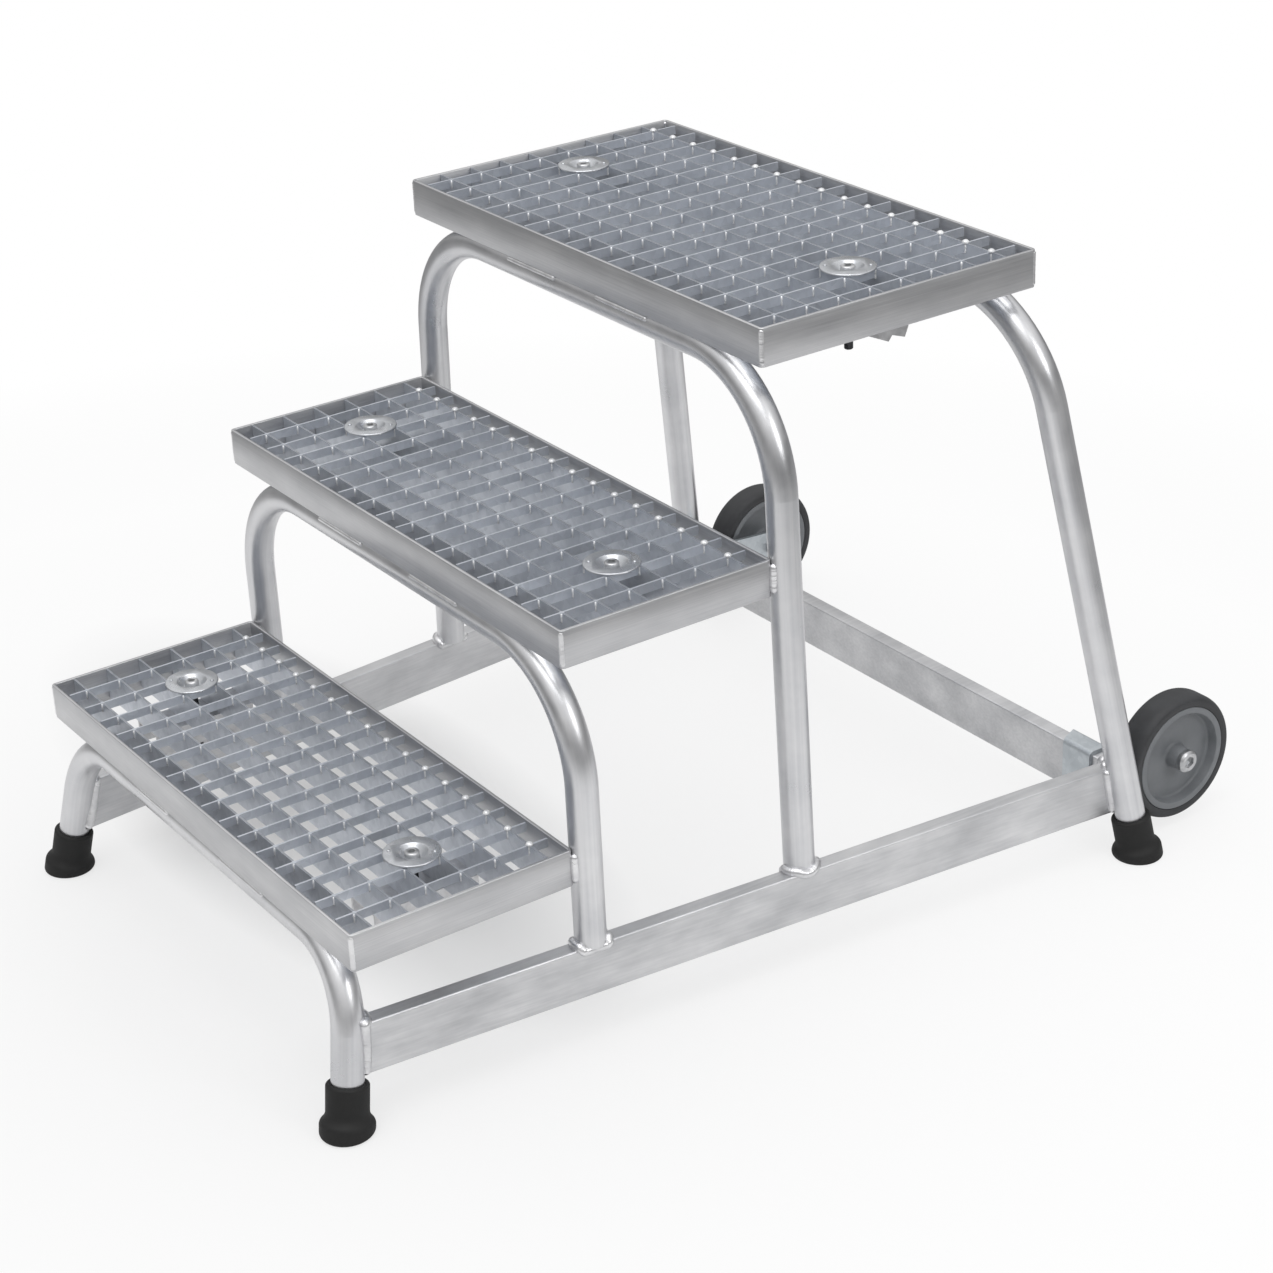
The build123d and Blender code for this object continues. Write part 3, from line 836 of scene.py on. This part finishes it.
def weld_runs():
    """Stitches between the treads' flats and the tubes under them."""
    beads = Beads(WELD_SEED + 3)
    for tread in TREADS:
        low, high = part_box(f"frame_{tread}")
        fronts = [low.y + RUN_IN]
        if tread == "top":
            fronts.append(high.y - RUN_IN)
        pitch = RUN_PITCH[tread]
        count = int((2 * RUN_REACH[tread] - RUN_WELD) / pitch) + 1
        for y in fronts:
            for i in range(count):
                middle = pitch * (i - (count - 1) / 2)
                ends = (middle - RUN_WELD / 2, middle + RUN_WELD / 2)
                beads.add([Vector((x, y, low.z - RUN_DROP)) for x in ends], RUN_BEAD)
    beads.piece("weld_runs", WELD)


def crossings(tread):
    """The places of a grating's bearing bars along Y and of its cross bars along X."""
    low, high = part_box(f"frame_{tread}")
    middle = (low + high) / 2
    places = []
    for axis in (1, 0):
        count = int((high[axis] - low[axis] - 2 * FLAT_T) / MESH)
        places.append([middle[axis] + MESH * (i - (count - 1) / 2) for i in range(count)])
    return places


def zinc_drops():
    """Drops of zinc left on the crossings along each grating's rearmost bearing bar."""
    verts = []
    faces = []
    for tread in TREADS:
        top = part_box(f"grating_{tread}")[1].z
        bearers, crosses = crossings(tread)
        for x in crosses:
            dome(verts, faces, Vector((x, bearers[-1], top)), DROP_R, DROP_H)
    mesh = mesh_from("zinc_drops", verts, faces)
    # the drops take the zinc with painted glints
    new_piece("zinc_drops", mesh, GLINT_ZINC)


def zinc_fillets():
    """Upright zinc fillets where the cross bars meet the bearing bars' front faces."""
    turns = [2 * math.pi * k / FILLET_SIDES for k in range(FILLET_SIDES)]
    for tread in TREADS:
        verts = []
        faces = []
        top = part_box(f"grating_{tread}")[1].z - FILLET_R / 2
        bearers, crosses = crossings(tread)
        for y in bearers:
            for x in crosses:
                for side in SIDES.values():
                    corner = Vector((x + side * BAR_T / 2, y - BAR_T / 2, top))
                    ring = [corner + FILLET_R * Vector((math.cos(a), -math.sin(a), 0)) for a in turns]
                    prism(verts, faces, ring, Vector((0, 0, -CROSS_H)))
        mesh = mesh_from(f"zinc_fillets_{tread}", verts, faces)
        # the fillets take the zinc with painted highlights
        new_piece(f"zinc_fillets_{tread}", mesh, GLINT_ZINC)


def clip_pips():
    """Two pressed pips on each clip's rim."""
    verts = []
    faces = []
    for tread in TREADS:
        for side_name in SIDES:
            low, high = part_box(f"clip_disc_{tread}_{side_name}")
            middle = (low + high) / 2
            for way in (-1, 1):
                offset = Vector((math.cos(PIP_TURN), math.sin(PIP_TURN), 0)) * PIP_OUT * way
                dome(verts, faces, Vector((middle.x, middle.y, high.z)) + offset, PIP_R, PIP_H)
    new_piece("clip_pips", mesh_from("clip_pips", verts, faces), SLOT_FINISH["zinc_clip"])


def make_saddles():
    """The clips' saddles: a plate under the bearing bars with two toothed sides folded down."""
    back = SADDLE_TEETH[-1][0]
    for tread in TREADS:
        bars_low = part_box(f"grating_{tread}")[0].z
        tread_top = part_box(f"frame_{tread}")[1].z
        lower = [(SADDLE_FRONT, tread_top - SADDLE_EDGE), (0, tread_top - SADDLE_EDGE)]
        lower += [(y, tread_top - depth) for y, depth in SADDLE_TEETH]
        side_line = [(back, bars_low), (SADDLE_FRONT, bars_low)] + lower
        for side_name in SIDES:
            node = f"clip_saddle_{tread}_{side_name}"
            low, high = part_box(node)
            x = (low.x + high.x) / 2
            y = (low.y + high.y) / 2
            verts = []
            faces = []
            for way in (-1, 1):
                outline = [Vector((x + way * SADDLE_W / 2, y + along, z)) for along, z in side_line]
                prism(verts, faces, outline, Vector((-way * SADDLE_T, 0, 0)))
            inner = SADDLE_W / 2 - SADDLE_T
            corners = [(-inner, 0), (inner, 0), (inner, -SADDLE_T), (-inner, -SADDLE_T)]
            plate = [Vector((x + across, y + SADDLE_FRONT, bars_low + z)) for across, z in corners]
            prism(verts, faces, plate, Vector((0, back - SADDLE_FRONT, 0)))
            slot = NODE_SLOT[node]
            piece = new_piece(f"{node}_folded", mesh_from(node, verts, faces), SLOT_FINISH[slot])
            piece.data.shade_flat()
            rounded_edges(piece, SADDLE_ROUND)
            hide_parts(node)


def tyre_profile():
    """Half of a section from the bore out to the crown, mirrored; the shoulders are round."""
    half = [
        (TYRE_BORE, TYRE_HALF - TYRE_CHAMFER), (TYRE_BORE + TYRE_CHAMFER, TYRE_HALF),
        (TYRE_SIDE - TYRE_LIP, TYRE_HALF),
    ]
    for k in range(SHOULDER_STEPS + 1):
        turn = math.pi / 2 * k / SHOULDER_STEPS
        half.append((
            TYRE_SIDE + (WHEEL_R - TYRE_SIDE) * math.sin(turn),
            TYRE_CROWN + (TYRE_HALF - TYRE_CROWN) * math.cos(turn),
        ))
    return half + [(r, -z) for r, z in reversed(half)]


def hub_profile():
    """Rim, drafted dish, web and tapered boss, with moulded fillets."""
    dish = HUB_R - HUB_RIM
    half = [
        (BOSS_BORE, HUB_HALF, BORE_ROUND), (BOSS_TIP, HUB_HALF, HUB_ROUND), (BOSS_R, HUB_WEB, HUB_FILLET),
        (dish - HUB_DRAFT, HUB_WEB, HUB_FILLET), (dish, TYRE_HALF, HUB_ROUND), (HUB_R, TYRE_HALF, RIM_ROUND),
    ]
    mirrored = [(r, -z, radius) for r, z, radius in reversed(half)]
    corners = half + mirrored
    return rounded([(r, z) for r, z, _ in corners], [radius for _, _, radius in corners])


def make_wheels():
    """Tyres and hubs turned with more sides than the solids, in the solids' form."""
    for side_name, side in SIDES.items():
        low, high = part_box(f"tyre_{side_name}")
        place = Matrix.Translation((low + high) / 2) @ Matrix.Rotation(math.pi / 2 * side, 4, "Y")
        for part, profile in (("tyre", tyre_profile()), ("hub", hub_profile())):
            node = f"{part}_{side_name}"
            slot = NODE_SLOT[node]
            mesh = lathe(f"{node}_turned", profile, place)
            piece = new_piece(f"{node}_turned", mesh, SLOT_FINISH[slot], f"wheel_{side_name}")
            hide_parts(node)


# Stage

def grey_ramp(nodes, stops):
    """A ramp of greys from (position, grey) stops."""
    ramp = nodes.new("ShaderNodeValToRGB")
    elements = ramp.color_ramp.elements
    for position, _ in stops[2:]:
        elements.new(position)
    for element, (position, tone) in zip(elements, stops):
        element.position = position
        element.color = (tone, tone, tone, 1)
    return ramp


def white_share(nodes, links):
    """All of the white for the camera's rays and a share of it for glossy and transmission rays."""
    rays = nodes.new("ShaderNodeLightPath")
    bounced = nodes.new("ShaderNodeMath")
    bounced.operation = "MAXIMUM"
    links.new(rays.outputs["Is Glossy Ray"], bounced.inputs[0])
    links.new(rays.outputs["Is Transmission Ray"], bounced.inputs[1])
    share = nodes.new("ShaderNodeMath")
    share.operation = "MULTIPLY_ADD"
    share.use_clamp = True
    share.inputs[1].default_value = GLOSSY_SHARE
    links.new(bounced.outputs[0], share.inputs[0])
    links.new(rays.outputs["Is Camera Ray"], share.inputs[2])
    return share.outputs[0]


def make_floor():
    """A pale floor that the camera sees as white, with the object's shadow on it and a painted pool of light
    in its paint, pale near the platform and grey further off.
    """
    build = bmesh.new()
    bmesh.ops.create_circle(build, cap_ends=True, segments=FLOOR_SIDES, radius=FLOOR_R)
    mesh = bpy.data.meshes.new("floor")
    build.to_mesh(mesh)
    build.free()
    floor = bpy.data.objects.new("floor", mesh)
    bpy.context.scene.collection.objects.link(floor)
    material = bpy.data.materials.new("floor_white")
    material.use_nodes = True
    nodes = material.node_tree.nodes
    links = material.node_tree.links
    paint = nodes["Principled BSDF"]
    paint.inputs["Roughness"].default_value = FLOOR_ROUGH
    place = nodes.new("ShaderNodeTexCoord")
    away = nodes.new("ShaderNodeVectorMath")
    away.operation = "DISTANCE"
    away.inputs[1].default_value = LIT_POOL
    links.new(place.outputs["Object"], away.inputs[0])
    reach = nodes.new("ShaderNodeMath")
    reach.operation = "DIVIDE"
    reach.inputs[1].default_value = LIT_POOL_REACH
    links.new(away.outputs["Value"], reach.inputs[0])
    # painted light: the floor's paint is pale in a pool round the platform and grey further off
    grey = grey_ramp(nodes, [(position, tone) for position, tone, _ in FLOOR_STOPS])
    glow = grey_ramp(nodes, [(position, share) for position, _, share in FLOOR_STOPS])
    for ramp in (grey, glow):
        links.new(reach.outputs[0], ramp.inputs["Fac"])
    offset = nodes.new("ShaderNodeVectorMath")
    offset.operation = "SUBTRACT"
    offset.inputs[1].default_value = SHADE
    links.new(place.outputs["Object"], offset.inputs[0])
    squeezed = nodes.new("ShaderNodeVectorMath")
    squeezed.operation = "DIVIDE"
    squeezed.inputs[1].default_value = Vector(SHADE_REACH) * 2
    links.new(offset.outputs["Vector"], squeezed.inputs[0])
    length = nodes.new("ShaderNodeVectorMath")
    length.operation = "LENGTH"
    links.new(squeezed.outputs["Vector"], length.inputs[0])
    shade = grey_ramp(nodes, SHADE_STOPS)
    links.new(length.outputs["Value"], shade.inputs["Fac"])
    links.new(grey.outputs["Color"], paint.inputs["Base Color"])
    white = nodes.new("ShaderNodeEmission")
    share = nodes.new("ShaderNodeMath")
    share.operation = "MULTIPLY"
    links.new(white_share(nodes, links), share.inputs[0])
    links.new(glow.outputs["Color"], share.inputs[1])
    left = nodes.new("ShaderNodeMath")
    left.operation = "MULTIPLY"
    links.new(share.outputs[0], left.inputs[0])
    links.new(shade.outputs["Color"], left.inputs[1])
    mix = nodes.new("ShaderNodeMixShader")
    links.new(left.outputs[0], mix.inputs[0])
    links.new(paint.outputs[0], mix.inputs[1])
    links.new(white.outputs[0], mix.inputs[2])
    links.new(mix.outputs[0], nodes["Material Output"].inputs["Surface"])
    mesh.materials.append(material)


def make_world():
    """A studio dome, bright overhead and darker towards the horizon; the camera sees it white."""
    world = bpy.data.worlds.new("studio")
    bpy.context.scene.world = world
    world.use_nodes = True
    nodes = world.node_tree.nodes
    links = world.node_tree.links
    dome_light = nodes["Background"]
    place = nodes.new("ShaderNodeTexCoord")
    split = nodes.new("ShaderNodeSeparateXYZ")
    links.new(place.outputs["Generated"], split.inputs[0])
    ramp = grey_ramp(nodes, DOME_STOPS)
    links.new(split.outputs["Z"], ramp.inputs["Fac"])
    links.new(ramp.outputs["Color"], dome_light.inputs["Color"])
    white = nodes.new("ShaderNodeBackground")
    white.inputs["Color"].default_value = (1, 1, 1, 1)
    mix = nodes.new("ShaderNodeMixShader")
    links.new(white_share(nodes, links), mix.inputs[0])
    links.new(dome_light.outputs[0], mix.inputs[1])
    links.new(white.outputs[0], mix.inputs[2])
    links.new(mix.outputs[0], nodes["World Output"].inputs["Surface"])


def make_lamp(name, place, size, power):
    """A square soft box that faces the platform."""
    light = bpy.data.lights.new(name, "AREA")
    light.size = size
    light.energy = power
    lamp = bpy.data.objects.new(name, light)
    bpy.context.scene.collection.objects.link(lamp)
    lamp.location = place
    lamp.rotation_euler = (Vector(CAMERA_AIM) - Vector(place)).to_track_quat("-Z", "Y").to_euler()


def make_camera():
    """A camera at the photograph's viewing angle."""
    azimuth, elevation, roll = (
        math.radians(angle) for angle in (CAMERA_AZIMUTH, CAMERA_ELEVATION, CAMERA_ROLL)
    )
    back = Vector((
        math.sin(azimuth) * math.cos(elevation),
        -math.cos(azimuth) * math.cos(elevation),
        math.sin(elevation),
    ))
    level = Vector((math.cos(azimuth), math.sin(azimuth), 0))
    upright = back.cross(level)
    right = level * math.cos(roll) + upright * math.sin(roll)
    up = upright * math.cos(roll) - level * math.sin(roll)
    data = bpy.data.cameras.new("camera")
    data.sensor_width = SENSOR_MM
    data.lens = FOCAL_PIXELS / IMAGE_PIXELS * SENSOR_MM
    camera = bpy.data.objects.new("camera", data)
    bpy.context.scene.collection.objects.link(camera)
    turn = Matrix((right, up, back)).transposed().to_4x4()
    place = Vector(CAMERA_AIM) - right * CAMERA_OFFSET[0] - up * CAMERA_OFFSET[1] + back * CAMERA_DISTANCE
    camera.matrix_world = Matrix.Translation(place) @ turn
    bpy.context.scene.camera = camera


dress_solids()
weld_posts()
weld_rails()
weld_corners()
weld_runs()
zinc_drops()
zinc_fillets()
clip_pips()
make_saddles()
make_wheels()
make_floor()
make_world()
for name, (place, size, power) in LAMPS.items():
    make_lamp(name, place, size, power)
make_camera()
bpy.context.scene.view_settings.view_transform = "Standard"
